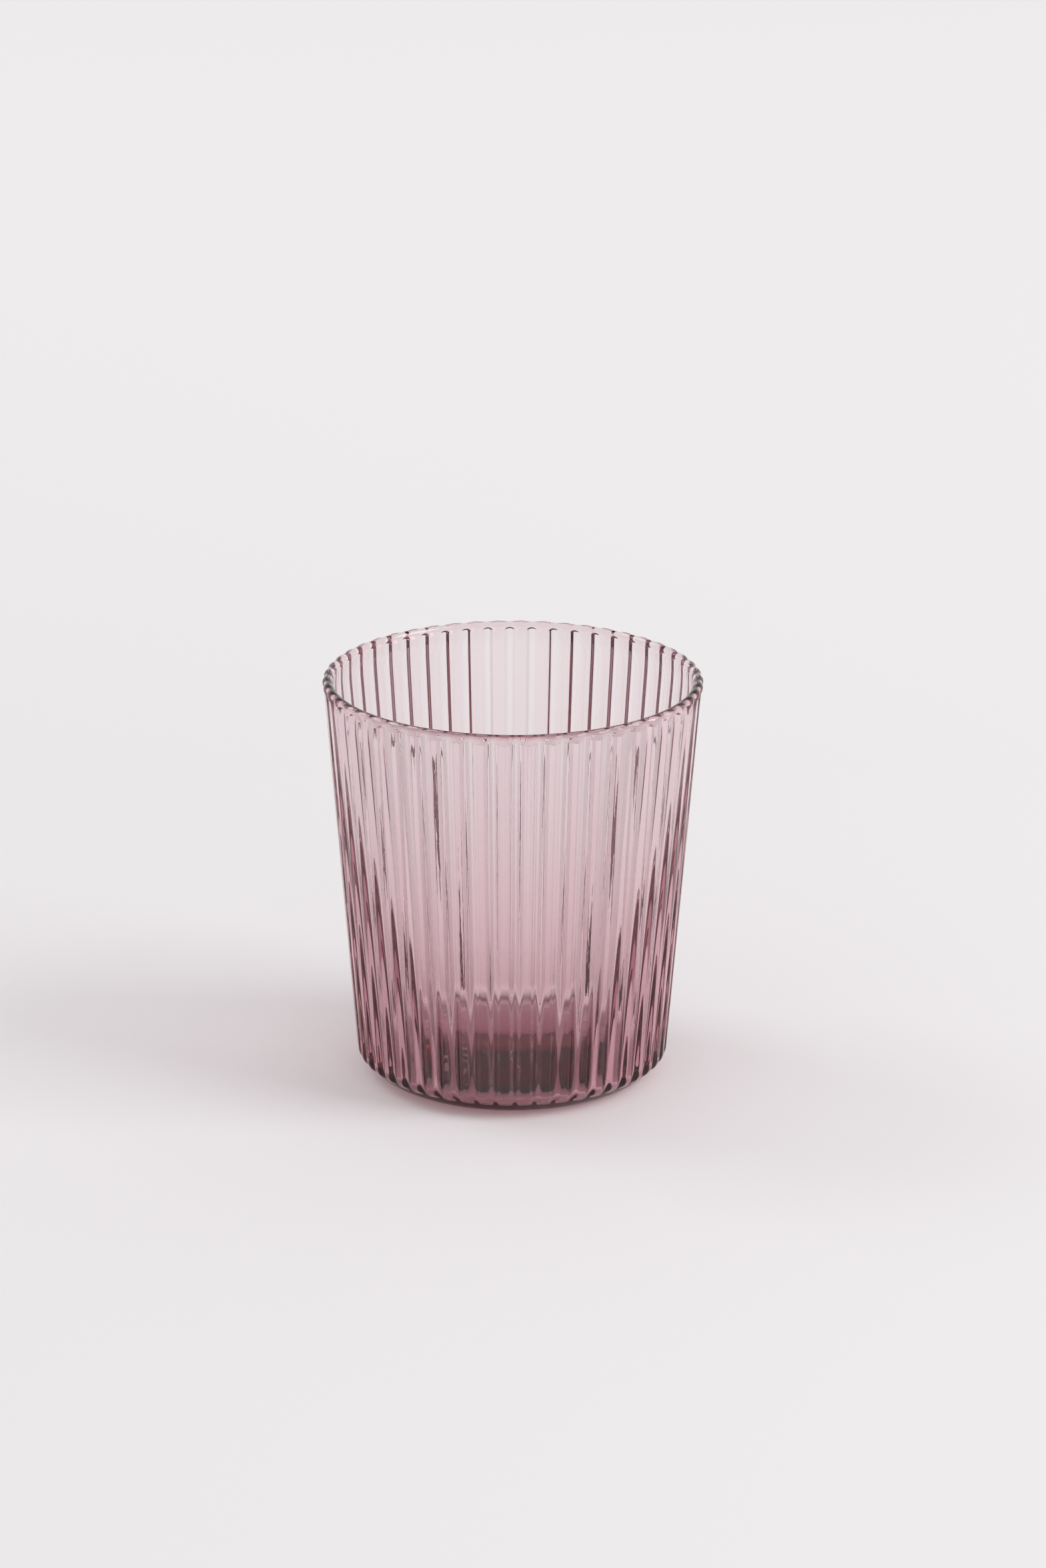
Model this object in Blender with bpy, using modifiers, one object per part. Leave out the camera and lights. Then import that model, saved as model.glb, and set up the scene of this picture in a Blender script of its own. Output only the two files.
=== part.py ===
# Fluted water glass: one piece of tinted glass, turned from a profile and grooved on its outer side.
# Metres, +Z up, origin at the centre of the base.
import math

import bpy

# Driving dimensions
height = 0.0870
rim_diameter = 0.0800
rim_thickness = 0.0022
rim_roll = 0.00035
rim_drop = 0.0011
bore_drop = 0.0016
rim_pinch = 0.0003
foot_diameter = 0.0653
heel_radius = 0.0063
wall_under_rim = 0.00145
floor_thickness = 0.0039
floor_wall = 0.0044
floor_fillet_radius = 0.0018
floor_ring_width = 0.0044
dome_height = 0.0052
dome_power = 3.0

# Ribs and the grooves between them
rib_count = 50
groove_width = 0.0032
groove_depth_top = 0.00069
groove_depth_foot = 0.00057
groove_drop = 0.0016
toe_level = 0.0030
toe_height = 0.0014
first_groove_angle = math.radians(4.8)

# Faceting
groove_columns = 4
rib_columns = 2
dome_steps = 4
fillet_steps = 2
bead_steps = 4
lip_steps = 2
heel_steps = 4

glass_colour = (0.62, 0.43, 0.49, 1.0)
glass_roughness = 0.03
glass_ior = 1.52


def clear_scene():
    for obj in list(bpy.data.objects):
        bpy.data.objects.remove(obj, do_unlink=True)


def corner_arc(before, corner, after, radius, steps):
    # Points of the arc that rounds the corner between two straight runs, first tangent point to last.
    to_before = math.atan2(before[1] - corner[1], before[0] - corner[0])
    to_after = math.atan2(after[1] - corner[1], after[0] - corner[0])
    opening = (to_after - to_before + math.pi) % (2 * math.pi) - math.pi
    bisector = to_before + opening / 2
    reach = radius / math.sin(abs(opening) / 2)
    centre = (corner[0] + reach * math.cos(bisector), corner[1] + reach * math.sin(bisector))
    half_sweep = (math.pi - abs(opening)) / 2
    turn = math.copysign(1, opening)
    points = []
    for step in range(steps + 1):
        angle = bisector + math.pi + turn * half_sweep * (1 - 2 * step / steps)
        points.append((centre[0] + radius * math.cos(angle), centre[1] + radius * math.sin(angle)))
    return points


def between(start, stop, share):
    return start + (stop - start) * share


def neck():
    # Radius over the ribs and height where they leave the rolled rim.
    return rim_diameter / 2 - rim_roll, height - rim_thickness / 2 - rim_drop


def rib_line(level):
    return between(foot_diameter / 2, neck()[0], level / neck()[1])


def groove_line(level):
    return rib_line(level) - between(groove_depth_foot, groove_depth_top, level / neck()[1])


def cavity_points():
    # Domed floor, the fillet round it, the wall and the inner underside of the rim, all turned.
    bead = rim_thickness / 2
    bead_middle = (rim_diameter / 2 - bead, height - bead)
    mouth_level = bead_middle[1] - bore_drop
    mouth = (rib_line(mouth_level) - wall_under_rim, mouth_level)
    floor_corner = (rib_line(floor_thickness) - floor_wall, floor_thickness)
    fillet = corner_arc((0.0, floor_thickness), floor_corner, mouth, floor_fillet_radius, fillet_steps)
    dome_radius = fillet[0][0] - floor_ring_width
    points = []
    for step in range(dome_steps + 1):
        share = step / dome_steps
        points.append((dome_radius * share, floor_thickness + dome_height * (1 - share ** dome_power)))
    points += fillet
    sweep = math.acos((bead_middle[0] - mouth[0]) / bead)
    reach = bore_drop / math.sin(sweep)
    for step in range(lip_steps, -1, -1):
        angle = sweep * step / lip_steps
        points.append((bead_middle[0] - bead * math.cos(angle), bead_middle[1] - reach * math.sin(angle)))
    return points


def rim_points(bead, start):
    # Over the rolled rim from its inner side, then in and down to where the wall starts.
    middle = (rim_diameter / 2 - rim_thickness + bead, height - bead)
    points = []
    for step in range(1, bead_steps + 1):
        angle = math.pi * (1 - step / bead_steps)
        points.append((middle[0] + bead * math.cos(angle), middle[1] + bead * math.sin(angle)))
    sweep = math.acos((start[0] - middle[0]) / bead)
    reach = (middle[1] - start[1]) / math.sin(sweep)
    for step in range(1, lip_steps + 1):
        angle = sweep * step / lip_steps
        points.append((middle[0] + bead * math.cos(angle), middle[1] - reach * math.sin(angle)))
    return points


def heel_points():
    # Ribs and grooves round in together until the ribs stop at their toes, low on the heel.
    base_middle = (0.0, 0.0)
    ribs = corner_arc(neck(), (foot_diameter / 2, 0.0), base_middle, heel_radius, heel_steps)
    groove_top = (groove_line(neck()[1]), neck()[1])
    grooves = corner_arc(groove_top, (groove_line(0.0), 0.0), base_middle, heel_radius, heel_steps)
    pairs = []
    for rib, groove in zip(ribs, grooves):
        under = min(max((toe_level - rib[1]) / toe_height, 0.0), 1.0)
        stand = math.sqrt(1 - under * under)
        pairs.append(((between(groove[0], rib[0], stand), between(groove[1], rib[1], stand)), groove))
    return pairs + [(base_middle, base_middle)]


def glass_profile():
    # From the middle of the inside floor, up the cavity, over the rim, down the outside to the middle of the base.
    # Each row is its point on a rib, its point in a groove, and how far the groove is melted into a plain wave.
    rows = [(point, point, 0.0) for point in cavity_points()]
    bead = rim_thickness / 2
    tip_level = height - groove_drop
    ribs = rim_points(bead, neck())
    grooves = rim_points(bead - rim_pinch / 2, (groove_line(tip_level), tip_level))
    for step, (rib, groove) in enumerate(zip(ribs, grooves), 1):
        rows.append((rib, groove, 1 - max(step - bead_steps, 0) / lip_steps))
    for rib, groove in heel_points():
        rows.append((rib, groove, 0.0))
    return rows


def columns_of_one_pitch():
    # For each column from one edge of a groove to the next groove:
    # its place in the pitch from the middle of the groove, its share of the groove and of the plain wave.
    half = groove_width / (2 * math.pi * neck()[0] / rib_count) / 2
    places = [half * (2 * step / groove_columns - 1) for step in range(groove_columns)]
    places += [between(half, 1 - half, step / rib_columns) for step in range(rib_columns)]
    columns = []
    for place in places:
        groove = (1 + math.cos(math.pi * min(abs(place) / half, 1))) / 2
        wave = (1 + math.cos(2 * math.pi * place)) / 2
        columns.append((place, groove, wave))
    return columns


def turned_mesh(rows, name):
    # The profile over the ribs turned about Z, one column for each step.
    outline = bpy.data.meshes.new(name + "_outline")
    edges = [(index, index + 1) for index in range(len(rows) - 1)]
    outline.from_pydata([(rib[0], 0.0, rib[1]) for rib, _, _ in rows], edges, [])
    turned = bpy.data.objects.new(name + "_outline", outline)
    bpy.context.scene.collection.objects.link(turned)
    screw = turned.modifiers.new("Turn", "SCREW")
    screw.axis = "Z"
    screw.steps = rib_count * (groove_columns + rib_columns)
    screw.render_steps = screw.steps
    screw.use_merge_vertices = True
    screw.merge_threshold = 0.00001
    bpy.context.view_layer.update()
    graph = bpy.context.evaluated_depsgraph_get()
    mesh = bpy.data.meshes.new_from_object(turned.evaluated_get(graph))
    bpy.data.objects.remove(turned, do_unlink=True)
    bpy.data.meshes.remove(outline)
    mesh.name = name
    return mesh


def cut_grooves(mesh, rows):
    # Every vertex keeps its row of the profile; its column says where on the rib it lies.
    columns = columns_of_one_pitch()
    total = rib_count * len(columns)
    for vertex in mesh.vertices:
        radius = math.hypot(vertex.co.x, vertex.co.y)
        rib, groove, melt = min(rows, key=lambda row: math.hypot(row[0][0] - radius, row[0][1] - vertex.co.z))
        pitch, column = divmod(round(math.atan2(vertex.co.y, vertex.co.x) / (2 * math.pi) * total), len(columns))
        place, cut, wave = columns[column]
        share = between(cut, wave, melt)
        angle = first_groove_angle + (pitch + place) / rib_count * 2 * math.pi
        radius = between(rib[0], groove[0], share)
        vertex.co = (radius * math.cos(angle), radius * math.sin(angle), between(rib[1], groove[1], share))


def glass_material():
    material = bpy.data.materials.new("Mauve_Glass")
    material.use_nodes = True
    shader = material.node_tree.nodes["Principled BSDF"]
    shader.inputs["Base Color"].default_value = glass_colour
    shader.inputs["Roughness"].default_value = glass_roughness
    shader.inputs["Metallic"].default_value = 0.0
    shader.inputs["IOR"].default_value = glass_ior
    shader.inputs["Transmission Weight"].default_value = 1.0
    return material


clear_scene()
parts = bpy.data.collections.new("Fluted_Water_Glass")
bpy.context.scene.collection.children.link(parts)

profile = glass_profile()
glass_mesh = turned_mesh(profile, "tumbler")
cut_grooves(glass_mesh, profile)
glass_mesh.shade_smooth()
glass_mesh.set_sharp_from_angle(angle=math.radians(50))
glass_mesh.materials.append(glass_material())

tumbler = bpy.data.objects.new("tumbler", glass_mesh)
parts.objects.link(tumbler)
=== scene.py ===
import math

import bpy
from mathutils import Matrix, Vector


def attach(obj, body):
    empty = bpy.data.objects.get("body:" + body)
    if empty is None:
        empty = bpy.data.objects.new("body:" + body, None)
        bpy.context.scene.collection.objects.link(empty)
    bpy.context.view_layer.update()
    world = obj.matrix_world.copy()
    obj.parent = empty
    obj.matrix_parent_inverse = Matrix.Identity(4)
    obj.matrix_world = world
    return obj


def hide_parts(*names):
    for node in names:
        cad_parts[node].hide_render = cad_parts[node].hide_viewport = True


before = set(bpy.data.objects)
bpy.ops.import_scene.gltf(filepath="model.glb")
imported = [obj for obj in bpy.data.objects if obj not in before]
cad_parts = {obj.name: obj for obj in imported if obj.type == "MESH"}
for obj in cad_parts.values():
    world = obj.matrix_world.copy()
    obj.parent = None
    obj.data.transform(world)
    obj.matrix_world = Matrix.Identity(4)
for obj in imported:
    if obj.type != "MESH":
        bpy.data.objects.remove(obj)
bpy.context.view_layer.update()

scene = bpy.context.scene
scene.view_settings.view_transform = "Standard"
scene.cycles.max_bounces = 40
scene.cycles.transmission_bounces = 36
scene.cycles.glossy_bounces = 12
scene.cycles.transparent_max_bounces = 16


# node helpers shared by the trees below
def addNode(tree, kind, **settings):
    node = tree.nodes.new(kind)
    for name, value in settings.items():
        setattr(node, name, value)
    return node


def feed(tree, socket, value):
    if isinstance(value, bpy.types.NodeSocket):
        tree.links.new(value, socket)
    else:
        socket.default_value = value


def calc(tree, operation, *values):
    node = addNode(tree, "ShaderNodeMath", operation=operation)
    for socket, value in zip(node.inputs, values):
        feed(tree, socket, value)
    return node.outputs[0]


def countCalc(tree, operation, first, second):
    node = addNode(tree, "FunctionNodeIntegerMath", operation=operation)
    feed(tree, node.inputs[0], first)
    feed(tree, node.inputs[1], second)
    return node.outputs[0]


# the glass, metres
tumblerSizes = {
    "height": 0.0870,
    "rimDiameter": 0.0799,
    "rimThickness": 0.0022,
    "rimRoll": 0.00035,        # rim bead stands this proud of the ribs
    "rimDrop": 0.0011,         # bead middle to the lower edge of the pads on the ribs
    "boreDrop": 0.0060,        # bead middle to where the inner wall starts to swell
    "wallTop": 0.00145,        # wall under the rim, over the ribs
    "rimPinch": 0.00045,       # bead narrower by this at the grooves
    "rimDip": 0.00008,         # and lower by this
    "grooveTip": 0.0016,       # rim top to groove tips
    "grooveTop": 0.00080,      # groove depth under the rim
    "grooveFoot": 0.00066,     # groove depth at the heel
    "footDiameter": 0.0653,
    "heelRadius": 0.0063,
    "toeRadius": 0.0058,       # ribs turn under a little more sharply than the body
    "toeLevel": 0.0046,        # ribs stop here and round under
    "toeHeight": 0.0018,
    "floorEdge": 0.0032,       # glass under the low ring of the floor
    "floorCrown": 0.0091,      # glass under the middle of the domed floor
    "domeRadius": 0.0226,
    "domeFullness": 2.6,
    "floorWall": 0.0044,
    "wallGrowth": 1.6,         # wall thickens faster towards the floor
    "innerCrowding": 1.5,      # inner rows drawn towards the floor
    "floorFillet": 0.0018,
    "puntDepth": 0.0001,       # hollow under the base
    "footRing": 0.0015,        # flat ring that it stands on
    "domeRounding": 0.25,      # softens the foot of the dome
    "floorSteps": 18,
    "filletSteps": 8,
    "innerSteps": 10,
    "boreSteps": 6,
    "beadSteps": 12,
    "lipSteps": 7,
    "wallSteps": 6,
    "heelSteps": 18,
    "puntSteps": 2,
    "heldEdge": 0.00012,       # row kept this close to a crease so that it stays crisp
}

fluteInputs = {
    "Rib Count": 50,
    "Columns": 22,             # mesh columns in one rib pitch
    "Crowding": 0.25,          # columns drawn towards the grooves
    "Groove Share": 0.72,      # of a pitch, taken by the groove
    "First Groove": math.radians(4.8),
    "Ripple": 0.000012,
    "Ripple Seed": 3.0,
}

# mould ripple: drawn out upwards, and none under the foot
rippleShape = {
    "stretch": (1.0, 1.0, 0.16),
    "scale": 420.0,
    "detail": 2.0,
    "fadeFrom": 0.0005,
    "fadeTo": 0.006,
}
weldReach = 0.000002


def roundedCorner(before, corner, after, radius, steps):
    toBefore = math.atan2(before[1] - corner[1], before[0] - corner[0])
    toAfter = math.atan2(after[1] - corner[1], after[0] - corner[0])
    opening = (toAfter - toBefore + math.pi) % (2 * math.pi) - math.pi
    bisector = toBefore + opening / 2
    reach = radius / math.sin(abs(opening) / 2)
    centre = (corner[0] + reach * math.cos(bisector), corner[1] + reach * math.sin(bisector))
    halfSweep = math.copysign((math.pi - abs(opening)) / 2, opening)
    points = []
    for step in range(steps + 1):
        angle = bisector + math.pi + halfSweep * (1 - 2 * step / steps)
        points.append((centre[0] + radius * math.cos(angle), centre[1] + radius * math.sin(angle)))
    return points


def between(start, stop, share):
    return start + (stop - start) * share


def straightRun(start, stop, steps, held):
    # points between two ends, with one held close to each end
    length = math.dist(start, stop)
    shares = [held / length] + [step / steps for step in range(1, steps)] + [1 - held / length]
    return [(between(start[0], stop[0], share), between(start[1], stop[1], share)) for share in shares]


def tumblerRows(size):
    # each row: radius and height on a rib, radius and height in a groove, share melted smooth
    height = size["height"]
    rimRadius = size["rimDiameter"] / 2
    bore = rimRadius - size["rimThickness"]
    bead = size["rimThickness"] / 2
    pinched = bead - size["rimPinch"] / 2
    ribTop = (rimRadius - size["rimRoll"], height - bead - size["rimDrop"])
    footRadius = size["footDiameter"] / 2

    def ribLine(level):
        return between(footRadius, ribTop[0], level / ribTop[1])

    def grooveLine(level):
        return ribLine(level) - between(size["grooveFoot"], size["grooveTop"], level / ribTop[1])

    rows = []

    # inside: domed floor, fillet, wall, and the swell into the rim
    floorLevel = size["floorEdge"]
    floorCorner = (ribLine(floorLevel) - size["floorWall"], floorLevel)
    innerNeck = height - bead - size["boreDrop"]

    def boreLine(level):
        share = max(innerNeck - level, 0.0) / (innerNeck - floorLevel)
        return ribLine(level) - between(size["wallTop"], size["floorWall"], share ** size["wallGrowth"])

    overFloor = floorLevel + size["floorFillet"]
    wallFoot = (boreLine(overFloor), overFloor)
    fillet = roundedCorner((0.0, floorLevel), floorCorner, wallFoot,
                           size["floorFillet"], size["filletSteps"])
    inside = []
    for step in range(size["floorSteps"]):
        radius = fillet[0][0] * step / size["floorSteps"]
        rise = 1 - (radius / size["domeRadius"]) ** size["domeFullness"]
        rise = (rise + math.hypot(rise, size["domeRounding"])) / 2
        inside.append((radius, between(floorLevel, size["floorCrown"], rise)))
    inside += fillet
    for step in range(1, size["innerSteps"]):
        level = between(fillet[-1][1], innerNeck, (step / size["innerSteps"]) ** size["innerCrowding"])
        inside.append((boreLine(level), level))
    for step in range(size["boreSteps"]):
        share = step / size["boreSteps"]
        level = between(innerNeck, height - bead, share)
        inside.append((between(boreLine(level), bore, share * share * (3 - 2 * share)), level))
    rows += [point + point + (0.0,) for point in inside]

    # rim bead from its inner side over the crest to the outer side, then down to the wall
    ribMiddle = (bore + bead, height - bead)
    grooveMiddle = (bore + pinched, height - size["rimDip"] - pinched)
    for step in range(size["beadSteps"] + 1):
        angle = math.pi * (1 - step / size["beadSteps"])
        rows.append((ribMiddle[0] + bead * math.cos(angle), ribMiddle[1] + bead * math.sin(angle),
                     grooveMiddle[0] + pinched * math.cos(angle),
                     grooveMiddle[1] + pinched * math.sin(angle),
                     1.0))
    ribSweep = math.acos((ribTop[0] - ribMiddle[0]) / bead)
    grooveStart = (grooveLine(height - size["grooveTip"]), height - size["grooveTip"])
    grooveSweep = math.acos((grooveStart[0] - grooveMiddle[0]) / pinched)
    ribReach = size["rimDrop"] / math.sin(ribSweep)
    grooveReach = (grooveMiddle[1] - grooveStart[1]) / math.sin(grooveSweep)
    for step in range(1, size["lipSteps"] + 1):
        share = step / size["lipSteps"]
        rows.append((ribMiddle[0] + bead * math.cos(ribSweep * share),
                     ribMiddle[1] - ribReach * math.sin(ribSweep * share),
                     grooveMiddle[0] + pinched * math.cos(grooveSweep * share),
                     grooveMiddle[1] - grooveReach * math.sin(grooveSweep * share),
                     1 - share))

    # wall, then the heel: ribs and grooves round in together until the ribs stop at their toes
    heel = roundedCorner((grooveLine(ribTop[1]), ribTop[1]), (grooveLine(0.0), 0.0), (0.0, 0.0),
                         size["heelRadius"], size["heelSteps"])
    ribHeel = roundedCorner(ribTop, (footRadius, 0.0), (0.0, 0.0), size["toeRadius"], size["heelSteps"])
    ribRun = straightRun(ribTop, ribHeel[0], size["wallSteps"], size["heldEdge"])
    grooveRun = straightRun(grooveStart, heel[0], size["wallSteps"], size["heldEdge"])
    rows += [rib + groove + (0.0,) for rib, groove in zip(ribRun, grooveRun)]
    for rib, body in zip(ribHeel, heel):
        under = min(max((size["toeLevel"] - rib[1]) / size["toeHeight"], 0.0), 1.0)
        stand = math.sqrt(1 - under * under)
        rows.append((between(body[0], rib[0], stand), between(body[1], rib[1], stand)) + body + (0.0,))

    # underside: foot ring, then the shallow hollow
    ringRadius = heel[-1][0] - size["footRing"]
    for step in range(size["puntSteps"] + 1):
        radius = ringRadius * (1 - step / size["puntSteps"])
        rows.append((radius, size["puntDepth"] * (1 - (radius / ringRadius) ** 2)) * 2 + (0.0,))
    return rows


def buildFluteTree():
    tree = bpy.data.node_groups.new("flutedTumbler", "GeometryNodeTree")
    tree.interface.new_socket(name="Profile", in_out="INPUT", socket_type="NodeSocketGeometry")
    sockets = {}
    for name, value in fluteInputs.items():
        kind = "NodeSocketInt" if isinstance(value, int) else "NodeSocketFloat"
        sockets[name] = tree.interface.new_socket(name=name, in_out="INPUT", socket_type=kind)
    sockets["Glass"] = tree.interface.new_socket(name="Glass", in_out="INPUT",
                                                 socket_type="NodeSocketMaterial")
    tree.interface.new_socket(name="Tumbler", in_out="OUTPUT", socket_type="NodeSocketGeometry")
    given = addNode(tree, "NodeGroupInput").outputs
    result = addNode(tree, "NodeGroupOutput")

    # one pitch of wall as a grid: a row for each profile point, a column for each step across the rib
    rowCount = addNode(tree, "GeometryNodeAttributeDomainSize")
    tree.links.new(given["Profile"], rowCount.inputs[0])
    grid = addNode(tree, "GeometryNodeMeshGrid")
    feed(tree, grid.inputs["Vertices X"], countCalc(tree, "ADD", given["Columns"], 1))
    feed(tree, grid.inputs["Vertices Y"], rowCount.outputs["Point Count"])
    index = addNode(tree, "GeometryNodeInputIndex").outputs[0]
    row = countCalc(tree, "MODULO", index, rowCount.outputs["Point Count"])
    column = countCalc(tree, "DIVIDE_FLOOR", index, rowCount.outputs["Point Count"])

    def rowValue(name):
        sample = addNode(tree, "GeometryNodeSampleIndex", data_type="FLOAT", domain="POINT")
        tree.links.new(given["Profile"], sample.inputs["Geometry"])
        value = addNode(tree, "GeometryNodeInputNamedAttribute", data_type="FLOAT")
        value.inputs["Name"].default_value = name
        tree.links.new(value.outputs["Attribute"], sample.inputs["Value"])
        tree.links.new(row, sample.inputs["Index"])
        return sample.outputs[0]

    def blend(start, stop, share):
        return calc(tree, "MULTIPLY_ADD", calc(tree, "SUBTRACT", stop, start), share, start)

    def wave(turns):
        swell = calc(tree, "COSINE", calc(tree, "MULTIPLY", turns, 2 * math.pi))
        return calc(tree, "MULTIPLY_ADD", swell, 0.5, 0.5)

    evenPlace = calc(tree, "DIVIDE", column, given["Columns"])
    swing = calc(tree, "SINE", calc(tree, "MULTIPLY", evenPlace, 2 * math.pi))
    shift = calc(tree, "MULTIPLY", swing, calc(tree, "DIVIDE", given["Crowding"], 2 * math.pi))
    place = calc(tree, "SUBTRACT", evenPlace, shift)
    # flat ribs with rounded grooves between them, melted to a plain wave in the rim
    fromGroove = calc(tree, "PINGPONG", place, 0.5)
    across = calc(tree, "MINIMUM", calc(tree, "DIVIDE", fromGroove, given["Groove Share"]), 0.5)
    groove = blend(wave(across), wave(place), rowValue("melt"))

    radius = blend(rowValue("ribRadius"), rowValue("grooveRadius"), groove)
    level = blend(rowValue("ribLevel"), rowValue("grooveLevel"), groove)
    pitch = calc(tree, "DIVIDE", 2 * math.pi, given["Rib Count"])
    angle = calc(tree, "MULTIPLY", place, pitch)
    spot = addNode(tree, "ShaderNodeCombineXYZ")
    feed(tree, spot.inputs[0], calc(tree, "MULTIPLY", radius, calc(tree, "COSINE", angle)))
    feed(tree, spot.inputs[1], calc(tree, "MULTIPLY", radius, calc(tree, "SINE", angle)))
    feed(tree, spot.inputs[2], level)
    strip = addNode(tree, "GeometryNodeSetPosition")
    tree.links.new(grid.outputs["Mesh"], strip.inputs["Geometry"])
    tree.links.new(spot.outputs[0], strip.inputs["Position"])

    # the strip repeated round the axis and welded
    points = addNode(tree, "GeometryNodePoints")
    tree.links.new(given["Rib Count"], points.inputs["Count"])
    pointIndex = addNode(tree, "GeometryNodeInputIndex").outputs[0]
    turn = addNode(tree, "ShaderNodeCombineXYZ")
    feed(tree, turn.inputs[2], calc(tree, "MULTIPLY_ADD", pointIndex, pitch, given["First Groove"]))
    toRotation = addNode(tree, "FunctionNodeEulerToRotation")
    tree.links.new(turn.outputs[0], toRotation.inputs[0])
    copies = addNode(tree, "GeometryNodeInstanceOnPoints")
    tree.links.new(points.outputs[0], copies.inputs["Points"])
    tree.links.new(strip.outputs[0], copies.inputs["Instance"])
    tree.links.new(toRotation.outputs[0], copies.inputs["Rotation"])
    whole = addNode(tree, "GeometryNodeRealizeInstances")
    tree.links.new(copies.outputs[0], whole.inputs[0])
    weld = addNode(tree, "GeometryNodeMergeByDistance")
    tree.links.new(whole.outputs[0], weld.inputs["Geometry"])
    weld.inputs["Distance"].default_value = weldReach
    turned = addNode(tree, "GeometryNodeFlipFaces")
    tree.links.new(weld.outputs[0], turned.inputs[0])

    # faint ripple left by the mould
    here = addNode(tree, "GeometryNodeInputPosition").outputs[0]
    stretch = addNode(tree, "ShaderNodeVectorMath", operation="MULTIPLY")
    tree.links.new(here, stretch.inputs[0])
    stretch.inputs[1].default_value = rippleShape["stretch"]
    noise = addNode(tree, "ShaderNodeTexNoise", noise_dimensions="4D")
    tree.links.new(stretch.outputs[0], noise.inputs["Vector"])
    tree.links.new(given["Ripple Seed"], noise.inputs["W"])
    noise.inputs["Scale"].default_value = rippleShape["scale"]
    noise.inputs["Detail"].default_value = rippleShape["detail"]
    lift = addNode(tree, "ShaderNodeSeparateXYZ")
    tree.links.new(here, lift.inputs[0])
    offBase = addNode(tree, "ShaderNodeMapRange", interpolation_type="SMOOTHSTEP")
    feed(tree, offBase.inputs["Value"], lift.outputs[2])
    offBase.inputs["From Min"].default_value = rippleShape["fadeFrom"]
    offBase.inputs["From Max"].default_value = rippleShape["fadeTo"]
    depth = calc(tree, "MULTIPLY", noise.outputs[0], given["Ripple"])
    depth = calc(tree, "MULTIPLY", depth, offBase.outputs[0])
    inward = addNode(tree, "ShaderNodeVectorMath", operation="SCALE")
    tree.links.new(addNode(tree, "GeometryNodeInputNormal").outputs[0], inward.inputs[0])
    feed(tree, inward.inputs["Scale"], calc(tree, "MULTIPLY", depth, -1.0))
    rippled = addNode(tree, "GeometryNodeSetPosition")
    tree.links.new(turned.outputs[0], rippled.inputs["Geometry"])
    tree.links.new(inward.outputs[0], rippled.inputs["Offset"])

    shaded = addNode(tree, "GeometryNodeSetShadeSmooth")
    tree.links.new(rippled.outputs[0], shaded.inputs["Geometry"])
    finish = addNode(tree, "GeometryNodeSetMaterial")
    tree.links.new(shaded.outputs[0], finish.inputs["Geometry"])
    tree.links.new(given["Glass"], finish.inputs["Material"])
    tree.links.new(finish.outputs[0], result.inputs[0])
    return tree, sockets


mauveGlassLook = {
    "tint": (0.80, 0.46, 0.53, 1.0),
    "density": 180.0,          # per metre of glass
    "ior": 1.52,
    "roughness": 0.0,
    "streakStretch": (1.0, 1.0, 0.05),
    "streakScale": 2600.0,
    "streakDetail": 2.0,
    "streakBump": 0.35,
    "streakDepth": 0.000004,
    "speckScale": 1500.0,
    "speckSize": 0.16,
    "speckDraw": 7.0,          # spreads the cells' own values for the draw
    "speckRarity": 0.9,        # share of cells left plain
    "shade": (0.50, 0.475, 0.482, 1.0),   # light let through to the floor
}


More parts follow.
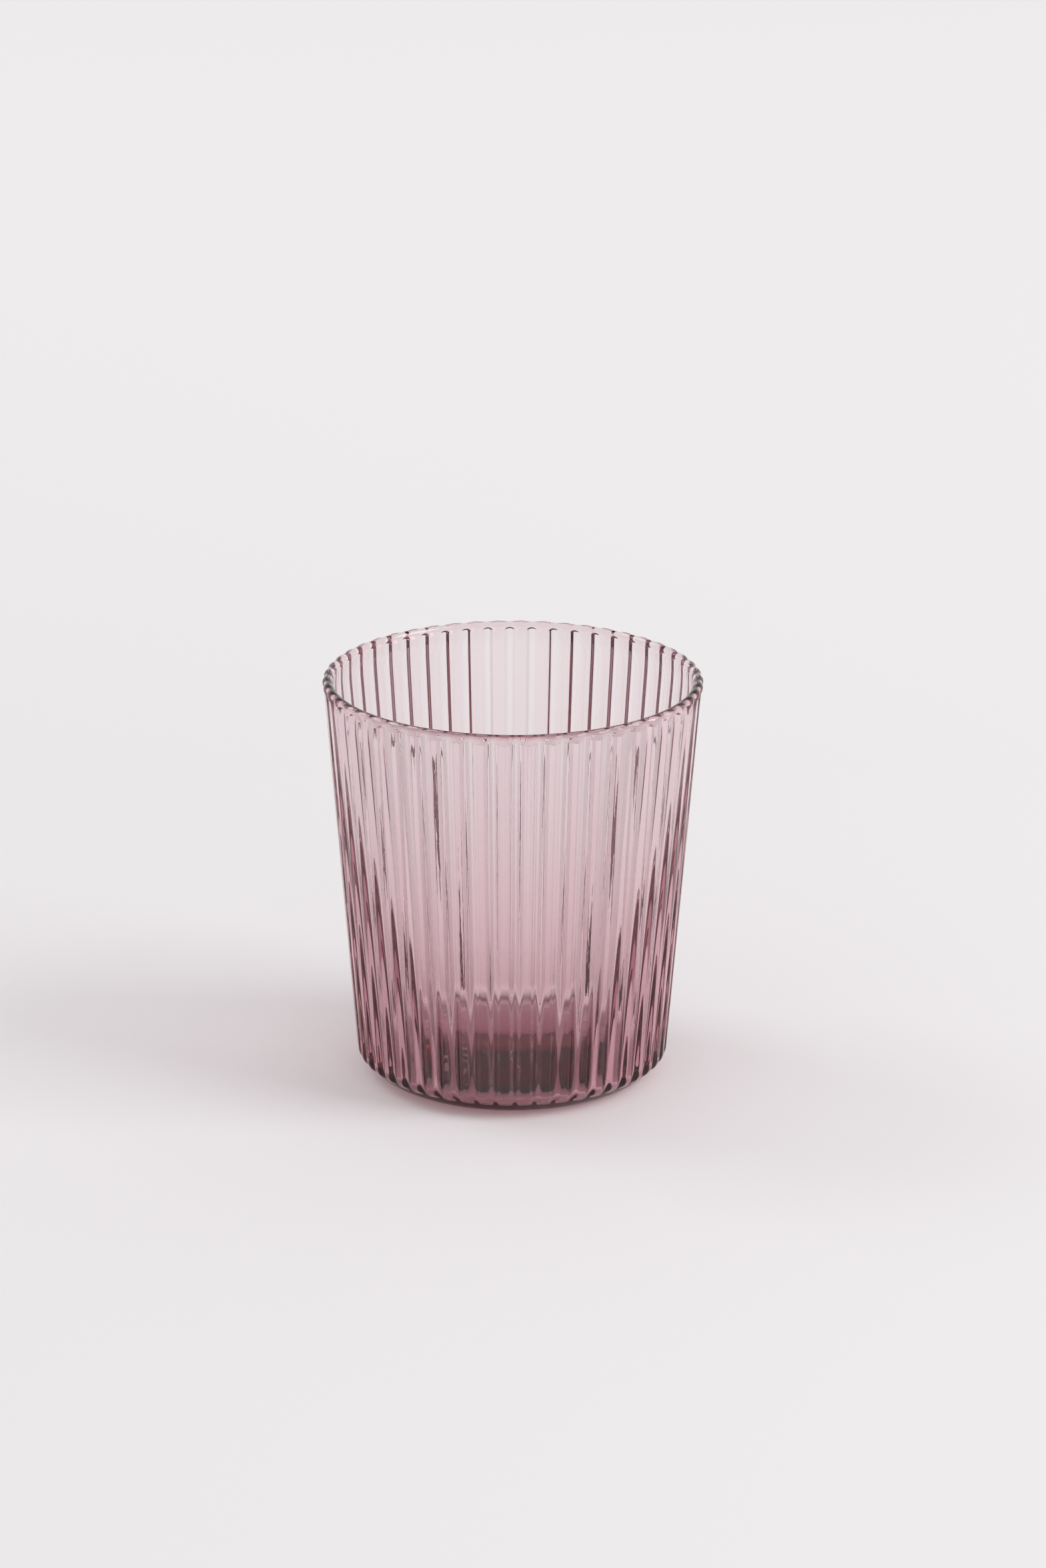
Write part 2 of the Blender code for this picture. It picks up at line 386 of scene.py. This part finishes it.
def mauveGlass():
    material = bpy.data.materials.new("mauveGlass")
    material.use_nodes = True
    tree = material.node_tree
    shader = tree.nodes["Principled BSDF"]
    shader.inputs["Base Color"].default_value = (1.0, 1.0, 1.0, 1.0)
    shader.inputs["Roughness"].default_value = mauveGlassLook["roughness"]
    shader.inputs["IOR"].default_value = mauveGlassLook["ior"]
    shader.inputs["Transmission Weight"].default_value = 1.0
    # fine upright streaks from the mould and scattered pin-point specks
    here = addNode(tree, "ShaderNodeTexCoord").outputs["Object"]
    drawn = addNode(tree, "ShaderNodeVectorMath", operation="MULTIPLY")
    tree.links.new(here, drawn.inputs[0])
    drawn.inputs[1].default_value = mauveGlassLook["streakStretch"]
    streaks = addNode(tree, "ShaderNodeTexNoise")
    tree.links.new(drawn.outputs[0], streaks.inputs["Vector"])
    streaks.inputs["Scale"].default_value = mauveGlassLook["streakScale"]
    streaks.inputs["Detail"].default_value = mauveGlassLook["streakDetail"]
    specks = addNode(tree, "ShaderNodeTexVoronoi")
    tree.links.new(here, specks.inputs["Vector"])
    specks.inputs["Scale"].default_value = mauveGlassLook["speckScale"]
    pit = addNode(tree, "ShaderNodeMapRange", interpolation_type="SMOOTHSTEP")
    tree.links.new(specks.outputs["Distance"], pit.inputs["Value"])
    pit.inputs["From Max"].default_value = mauveGlassLook["speckSize"]
    draw = calc(tree, "FRACT", calc(tree, "MULTIPLY", specks.outputs["Color"], mauveGlassLook["speckDraw"]))
    chosen = calc(tree, "GREATER_THAN", draw, mauveGlassLook["speckRarity"])
    hollow = calc(tree, "MULTIPLY", chosen, calc(tree, "SUBTRACT", 1.0, pit.outputs[0]))
    pitted = calc(tree, "SUBTRACT", 1.0, hollow)
    relief = addNode(tree, "ShaderNodeBump")
    relief.inputs["Strength"].default_value = mauveGlassLook["streakBump"]
    relief.inputs["Distance"].default_value = mauveGlassLook["streakDepth"]
    feed(tree, relief.inputs["Height"], calc(tree, "ADD", streaks.outputs[0], pitted))
    tree.links.new(relief.outputs[0], shader.inputs["Normal"])
    body = addNode(tree, "ShaderNodeVolumeAbsorption")
    body.inputs["Color"].default_value = mauveGlassLook["tint"]
    body.inputs["Density"].default_value = mauveGlassLook["density"]
    tree.links.new(body.outputs[0], tree.nodes["Material Output"].inputs["Volume"])
    # shadow rays go through, so that the shadow stays pale
    letThrough = addNode(tree, "ShaderNodeBsdfTransparent")
    letThrough.inputs["Color"].default_value = mauveGlassLook["shade"]
    surface = addNode(tree, "ShaderNodeMixShader")
    tree.links.new(addNode(tree, "ShaderNodeLightPath").outputs["Is Shadow Ray"], surface.inputs[0])
    tree.links.new(shader.outputs[0], surface.inputs[1])
    tree.links.new(letThrough.outputs[0], surface.inputs[2])
    tree.links.new(surface.outputs[0], tree.nodes["Material Output"].inputs["Surface"])
    return material


def makeTumbler():
    rows = tumblerRows(tumblerSizes)
    outline = bpy.data.meshes.new("tumblerOutline")
    edges = [(place, place + 1) for place in range(len(rows) - 1)]
    outline.from_pydata([(row[0], 0.0, row[1]) for row in rows], edges, [])
    for column, name in enumerate(("ribRadius", "ribLevel", "grooveRadius", "grooveLevel", "melt")):
        values = outline.attributes.new(name, "FLOAT", "POINT")
        values.data.foreach_set("value", [float(row[column]) for row in rows])
    lathe = bpy.data.objects.new("tumblerOutline", outline)
    scene.collection.objects.link(lathe)
    tree, sockets = buildFluteTree()
    modifier = lathe.modifiers.new("Flutes", "NODES")
    modifier.node_group = tree
    for name, value in fluteInputs.items():
        modifier[sockets[name].identifier] = value
    modifier[sockets["Glass"].identifier] = mauveGlass()
    bpy.context.view_layer.update()
    graph = bpy.context.evaluated_depsgraph_get()
    mesh = bpy.data.meshes.new_from_object(lathe.evaluated_get(graph))
    bpy.data.objects.remove(lathe, do_unlink=True)
    mesh.name = "tumblerGlass"
    piece = bpy.data.objects.new("tumblerGlass", mesh)
    scene.collection.objects.link(piece)
    return piece


tumblerGlass = makeTumbler()
print("tumbler", len(tumblerGlass.data.vertices), "vertices", len(tumblerGlass.data.polygons), "faces")


def bentRay(tree):
    # 1 for light that the glass bends or mirrors on its way to the camera
    path = addNode(tree, "ShaderNodeLightPath").outputs
    bent = calc(tree, "MAXIMUM", path["Is Glossy Ray"], path["Is Transmission Ray"])
    scattered = calc(tree, "MINIMUM", path["Diffuse Depth"], 1.0)
    return calc(tree, "MULTIPLY", bent, calc(tree, "SUBTRACT", 1.0, scattered))


trappedSteps = {"from": 4.0, "to": 7.0}


def trappedRay(tree):
    # rises to 1 for light that has run to and fro inside the wall
    depth = addNode(tree, "ShaderNodeMapRange", interpolation_type="SMOOTHSTEP")
    tree.links.new(addNode(tree, "ShaderNodeLightPath").outputs["Ray Depth"], depth.inputs["Value"])
    depth.inputs["From Min"].default_value = trappedSteps["from"]
    depth.inputs["From Max"].default_value = trappedSteps["to"]
    return depth.outputs[0]


# pale floor
floorLook = {
    "half": 3.0,
    "level": -0.0001,          # just under the foot
    "colour": (0.84, 0.825, 0.832, 1.0),
    "paintedFarLightColour": (1.0, 0.985, 0.992, 1.0),   # painted light: floor colour paler further back along Y, where the soft boxes light the floor less
    "farFrom": 0.2,
    "farTo": 1.4,
    "paintedShadeColour": (0.30, 0.285, 0.29, 1.0),   # painted shade: dark floor colour for light seen through the glass after a long run inside the wall
    "roughness": 0.6,
    "glowColour": (1.0, 0.96, 1.0, 1.0),     # weak glow under the foot, seen only through the glass
    "glow": 0.22,
    "glowFrom": 0.029,
    "glowTo": 0.012,
}


def makeFloor():
    half = floorLook["half"]
    level = floorLook["level"]
    mesh = bpy.data.meshes.new("paleFloor")
    corners = [(-half, -half, level), (half, -half, level), (half, half, level), (-half, half, level)]
    mesh.from_pydata(corners, [], [(0, 1, 2, 3)])
    material = bpy.data.materials.new("paleFloor")
    material.use_nodes = True
    tree = material.node_tree
    shader = tree.nodes["Principled BSDF"]
    place = addNode(tree, "ShaderNodeSeparateXYZ")
    tree.links.new(addNode(tree, "ShaderNodeTexCoord").outputs["Object"], place.inputs[0])
    away = addNode(tree, "ShaderNodeMapRange")
    tree.links.new(place.outputs[1], away.inputs["Value"])
    away.inputs["From Min"].default_value = floorLook["farFrom"]
    away.inputs["From Max"].default_value = floorLook["farTo"]
    # painted light: the floor colour turns paler further back along Y, making up for the soft boxes'
    # fall-off
    paintedFarLight = addNode(tree, "ShaderNodeMix", data_type="RGBA")
    tree.links.new(away.outputs[0], paintedFarLight.inputs[0])
    paintedFarLight.inputs[6].default_value = floorLook["colour"]
    paintedFarLight.inputs[7].default_value = floorLook["paintedFarLightColour"]
    # painted shade: the floor turns dark where it is seen through the glass after a long run inside the
    # wall
    paintedShade = addNode(tree, "ShaderNodeMix", data_type="RGBA")
    feed(tree, paintedShade.inputs[0], calc(tree, "MULTIPLY", trappedRay(tree), bentRay(tree)))
    tree.links.new(paintedFarLight.outputs[2], paintedShade.inputs[6])
    paintedShade.inputs[7].default_value = floorLook["paintedShadeColour"]
    tree.links.new(paintedShade.outputs[2], shader.inputs["Base Color"])
    acrossSquared = calc(tree, "POWER", place.outputs[0], 2.0)
    alongSquared = calc(tree, "POWER", place.outputs[1], 2.0)
    fromAxis = calc(tree, "SQRT", calc(tree, "ADD", acrossSquared, alongSquared))
    under = addNode(tree, "ShaderNodeMapRange", interpolation_type="SMOOTHSTEP")
    tree.links.new(fromAxis, under.inputs["Value"])
    under.inputs["From Min"].default_value = floorLook["glowFrom"]
    under.inputs["From Max"].default_value = floorLook["glowTo"]
    under.inputs["To Max"].default_value = floorLook["glow"]
    shader.inputs["Emission Color"].default_value = floorLook["glowColour"]
    feed(tree, shader.inputs["Emission Strength"], calc(tree, "MULTIPLY", under.outputs[0], bentRay(tree)))
    shader.inputs["Roughness"].default_value = floorLook["roughness"]
    shader.inputs["Specular IOR Level"].default_value = 0.0
    mesh.materials.append(material)
    piece = bpy.data.objects.new("paleFloor", mesh)
    scene.collection.objects.link(piece)
    return piece


paleFloor = makeFloor()

# studio: pale all round for the camera, dim towards the camera side for the light that the glass bends
studioLook = {
    "pale": (0.86, 0.845, 0.853, 1.0),
    "ambient": 0.66,
    "backGlow": 0.90,
    "frontGlow": 0.03,
    "glowFrom": -0.25,         # front to back, in the direction's Y
    "glowTo": 0.35,
    "roomColour": (1.0, 0.985, 0.99, 1.0),
    "fadeFrom": 0.09,          # darkens overhead, in the direction's Z
    "fadeTo": 0.80,
    "overheadShare": 0.05,
    "trapped": 0.4,            # left of it for light that stays long inside the wall
}


def makeStudio():
    world = bpy.data.worlds.new("studio")
    scene.world = world
    world.use_nodes = True
    tree = world.node_tree
    tree.nodes.clear()
    where = addNode(tree, "ShaderNodeTexCoord").outputs["Generated"]
    axis = addNode(tree, "ShaderNodeSeparateXYZ")
    tree.links.new(where, axis.inputs[0])
    ramp = addNode(tree, "ShaderNodeMapRange", interpolation_type="SMOOTHSTEP")
    tree.links.new(axis.outputs[1], ramp.inputs["Value"])
    ramp.inputs["From Min"].default_value = studioLook["glowFrom"]
    ramp.inputs["From Max"].default_value = studioLook["glowTo"]
    ramp.inputs["To Min"].default_value = studioLook["frontGlow"]
    ramp.inputs["To Max"].default_value = studioLook["backGlow"]
    overhead = addNode(tree, "ShaderNodeMapRange", interpolation_type="SMOOTHSTEP")
    tree.links.new(axis.outputs[2], overhead.inputs["Value"])
    overhead.inputs["From Min"].default_value = studioLook["fadeFrom"]
    overhead.inputs["From Max"].default_value = studioLook["fadeTo"]
    overhead.inputs["To Min"].default_value = 1.0
    overhead.inputs["To Max"].default_value = studioLook["overheadShare"]
    path = addNode(tree, "ShaderNodeLightPath").outputs
    seen = calc(tree, "MULTIPLY", ramp.outputs[0], overhead.outputs[0])
    dimming = calc(tree, "MULTIPLY_ADD", trappedRay(tree), studioLook["trapped"] - 1.0, 1.0)
    seen = calc(tree, "MULTIPLY", seen, dimming)
    strength = addNode(tree, "ShaderNodeMix", data_type="FLOAT")
    feed(tree, strength.inputs[0], bentRay(tree))
    strength.inputs[2].default_value = studioLook["ambient"]
    feed(tree, strength.inputs[3], seen)
    room = addNode(tree, "ShaderNodeBackground")
    feed(tree, room.inputs["Strength"], strength.outputs[0])
    room.inputs["Color"].default_value = studioLook["roomColour"]
    pale = addNode(tree, "ShaderNodeBackground")
    pale.inputs["Color"].default_value = studioLook["pale"]
    pale.inputs["Strength"].default_value = 1.0
    pick = addNode(tree, "ShaderNodeMixShader")
    tree.links.new(path["Is Camera Ray"], pick.inputs[0])
    tree.links.new(room.outputs[0], pick.inputs[1])
    tree.links.new(pale.outputs[0], pick.inputs[2])
    tree.links.new(pick.outputs[0], addNode(tree, "ShaderNodeOutputWorld").inputs["Surface"])


makeStudio()

# soft boxes: place, aim, size, power
softBoxes = {
    "keyRight": {"place": (1.67, -0.48, 1.35), "aim": (0.0, 0.0, 0.03), "size": (1.1, 1.3), "power": 21.5},
    "fillLeft": {"place": (-1.25, 0.58, 1.55), "aim": (0.0, 0.0, 0.03), "size": (0.8, 0.8), "power": 6.0},
}


def makeSoftBoxes():
    for name, box in softBoxes.items():
        lamp = bpy.data.lights.new(name, "AREA")
        lamp.shape = "RECTANGLE"
        lamp.size, lamp.size_y = box["size"]
        lamp.energy = box["power"]
        holder = bpy.data.objects.new(name, lamp)
        holder.location = box["place"]
        facing = Vector(box["aim"]) - Vector(box["place"])
        holder.rotation_euler = facing.to_track_quat("-Z", "Y").to_euler()
        holder.visible_camera = False
        scene.collection.objects.link(holder)


makeSoftBoxes()
print("floor, studio and soft boxes set")

# camera, worked out from the outline of the glass in a 1568 x 2351 frame
cameraLook = {
    "lens": 135.0,
    "sensor": 36.0,
    "nearest": 0.01,
    "distance": 1.240,
    "elevation": 19.02,        # degrees, as is the roll
    "roll": 0.165,
    "aim": (0.00217, 0.0, 0.0631),
}


def makeCamera():
    lens = bpy.data.cameras.new("frontView")
    lens.lens = cameraLook["lens"]
    lens.sensor_width = cameraLook["sensor"]
    lens.clip_start = cameraLook["nearest"]
    tilt = math.radians(cameraLook["elevation"])
    roll = math.radians(cameraLook["roll"])
    forward = Vector((0.0, math.cos(tilt), -math.sin(tilt)))
    right = Vector((1.0, 0.0, 0.0))
    up = Vector((0.0, math.sin(tilt), math.cos(tilt)))
    across = right * math.cos(roll) + up * math.sin(roll)
    upright = up * math.cos(roll) - right * math.sin(roll)
    turn = Matrix((across, upright, -forward)).transposed().to_4x4()
    place = Vector(cameraLook["aim"]) - forward * cameraLook["distance"]
    camera = bpy.data.objects.new("frontView", lens)
    camera.matrix_world = Matrix.Translation(place) @ turn
    scene.collection.objects.link(camera)
    scene.camera = camera


makeCamera()

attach(tumblerGlass, "root")
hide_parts("tumbler")
